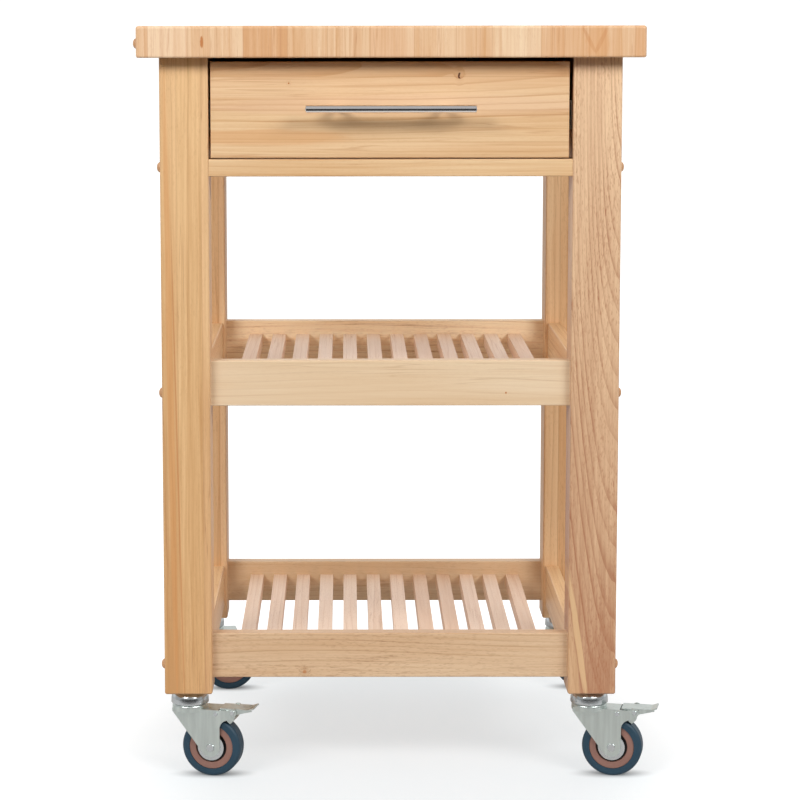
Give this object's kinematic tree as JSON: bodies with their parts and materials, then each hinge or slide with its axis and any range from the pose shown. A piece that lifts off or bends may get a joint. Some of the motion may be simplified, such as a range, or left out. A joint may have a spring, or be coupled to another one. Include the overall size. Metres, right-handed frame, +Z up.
{
  "type": "butcher block table",
  "caption": "Rolling kitchen table with an end-grain butcher block top, a drawer on ball slides, two slatted shelves and swivel casters with brakes at the front.",
  "frame": {"origin": "on the floor, at the centre of the whole footprint, brake pedals included; the cart's own middle plane is 15 mm to the left", "axes": "+Z up, the drawer faces -Y and slides out along -Y, +X to the right"},
  "size_m": [0.6466, 0.5167, 0.932],
  "materials": {
    "rubberwood": "clear satin lacquer over rubberwood",
    "end_grain_block": "oiled end-grain blocks",
    "slat_wood": "clear satin lacquer",
    "plug_wood": "clear satin lacquer",
    "plywood": "thin clear lacquer",
    "zinc_plate": "bright zinc plating on pressed steel",
    "polished_steel": "polished and plated",
    "wheel_core": "moulded, satin",
    "wheel_tread": "smooth blue-grey tread"
  },
  "bodies": {
    "cart": {"top_block": "end_grain_block", "leg_front_left": "rubberwood", "leg_front_right": "rubberwood", "leg_back_left": "rubberwood", "leg_back_right": "rubberwood", "left_apron": "rubberwood", "right_apron": "rubberwood", "back_apron": "rubberwood", "drawer_rail": "rubberwood", "mid_front_rail": "rubberwood", "mid_back_rail": "rubberwood", "mid_left_rail": "rubberwood", "mid_right_rail": "rubberwood", "mid_slats": "slat_wood", "lower_front_rail": "rubberwood", "lower_back_rail": "rubberwood", "lower_left_rail": "rubberwood", "lower_right_rail": "rubberwood", "lower_slats": "slat_wood", "leg_bolts": "zinc_plate", "barrel_nuts": "zinc_plate", "top_brackets": "zinc_plate", "cabinet_screws": "zinc_plate", "caster_inserts": "zinc_plate", "caster_heads": "zinc_plate", "slide_left_outer": "zinc_plate", "slide_right_outer": "zinc_plate", "plug_buttons": "plug_wood", "rail_dowels": "plug_wood"},
    "drawer": {"drawer_front": "rubberwood", "drawer_inner_front": "rubberwood", "drawer_left_side": "rubberwood", "drawer_right_side": "rubberwood", "drawer_back": "rubberwood", "drawer_bottom": "plywood", "handle_bar": "polished_steel", "handle_posts": "polished_steel", "drawer_screws": "zinc_plate", "slide_left_inner": "zinc_plate", "slide_right_inner": "zinc_plate"},
    "slide_cages": {"slide_cages": "zinc_plate"},
    "front_left_swivel": {"front_left_fork": "zinc_plate", "front_left_axle": "zinc_plate"},
    "front_left_wheel": {"front_left_wheel_core": "wheel_core", "front_left_wheel_tread": "wheel_tread"},
    "front_left_pedal": {"front_left_pedal": "zinc_plate"},
    "front_right_swivel": {"front_right_fork": "zinc_plate", "front_right_axle": "zinc_plate"},
    "front_right_wheel": {"front_right_wheel_core": "wheel_core", "front_right_wheel_tread": "wheel_tread"},
    "front_right_pedal": {"front_right_pedal": "zinc_plate"},
    "back_left_swivel": {"back_left_fork": "zinc_plate", "back_left_axle": "zinc_plate"},
    "back_left_wheel": {"back_left_wheel_core": "wheel_core", "back_left_wheel_tread": "wheel_tread"},
    "back_right_swivel": {"back_right_fork": "zinc_plate", "back_right_axle": "zinc_plate"},
    "back_right_wheel": {"back_right_wheel_core": "wheel_core", "back_right_wheel_tread": "wheel_tread"}
  },
  "joints": [
    {"name": "drawer_slide", "type": "slide", "parent": "cart", "child": "drawer", "axis": [0, -1, 0], "range_m": [0, 0.3]},
    {"name": "cage_slide", "type": "slide", "parent": "cart", "child": "slide_cages", "axis": [0, -1, 0], "range_m": [0, 0.15]},
    {"name": "front_left_swivel", "type": "hinge", "parent": "cart", "child": "front_left_swivel", "pos_m": [-0.265, -0.1985, 0.07], "axis": [0, 0, 1], "continuous": true},
    {"name": "front_left_spin", "type": "hinge", "parent": "front_left_swivel", "child": "front_left_wheel", "pos_m": [-0.23577, -0.20525, 0.0375], "axis": [0.225, 0.9744, 0], "continuous": true},
    {"name": "front_left_brake", "type": "hinge", "parent": "front_left_swivel", "child": "front_left_pedal", "pos_m": [-0.208, -0.21166, 0.0835], "axis": [0.225, 0.9744, 0], "range_deg": [0, 11]},
    {"name": "front_right_swivel", "type": "hinge", "parent": "cart", "child": "front_right_swivel", "pos_m": [0.235, -0.1985, 0.07], "axis": [0, 0, 1], "continuous": true},
    {"name": "front_right_spin", "type": "hinge", "parent": "front_right_swivel", "child": "front_right_wheel", "pos_m": [0.26423, -0.20525, 0.0375], "axis": [0.225, 0.9744, 0], "continuous": true},
    {"name": "front_right_brake", "type": "hinge", "parent": "front_right_swivel", "child": "front_right_pedal", "pos_m": [0.292, -0.21166, 0.0835], "axis": [0.225, 0.9744, 0], "range_deg": [0, 11]},
    {"name": "back_left_swivel", "type": "hinge", "parent": "cart", "child": "back_left_swivel", "pos_m": [-0.265, 0.1985, 0.07], "axis": [0, 0, 1], "continuous": true},
    {"name": "back_left_spin", "type": "hinge", "parent": "back_left_swivel", "child": "back_left_wheel", "pos_m": [-0.23516, 0.20164, 0.0375], "axis": [-0.1045, 0.9945, 0], "continuous": true},
    {"name": "back_right_swivel", "type": "hinge", "parent": "cart", "child": "back_right_swivel", "pos_m": [0.235, 0.1985, 0.07], "axis": [0, 0, 1], "continuous": true},
    {"name": "back_right_spin", "type": "hinge", "parent": "back_right_swivel", "child": "back_right_wheel", "pos_m": [0.26411, 0.20576, 0.0375], "axis": [-0.2419, 0.9703, 0], "continuous": true}
  ],
  "couplings": [
    {"joint": "cage_slide", "follows": "drawer_slide", "ratio": 0.5}
  ]
}
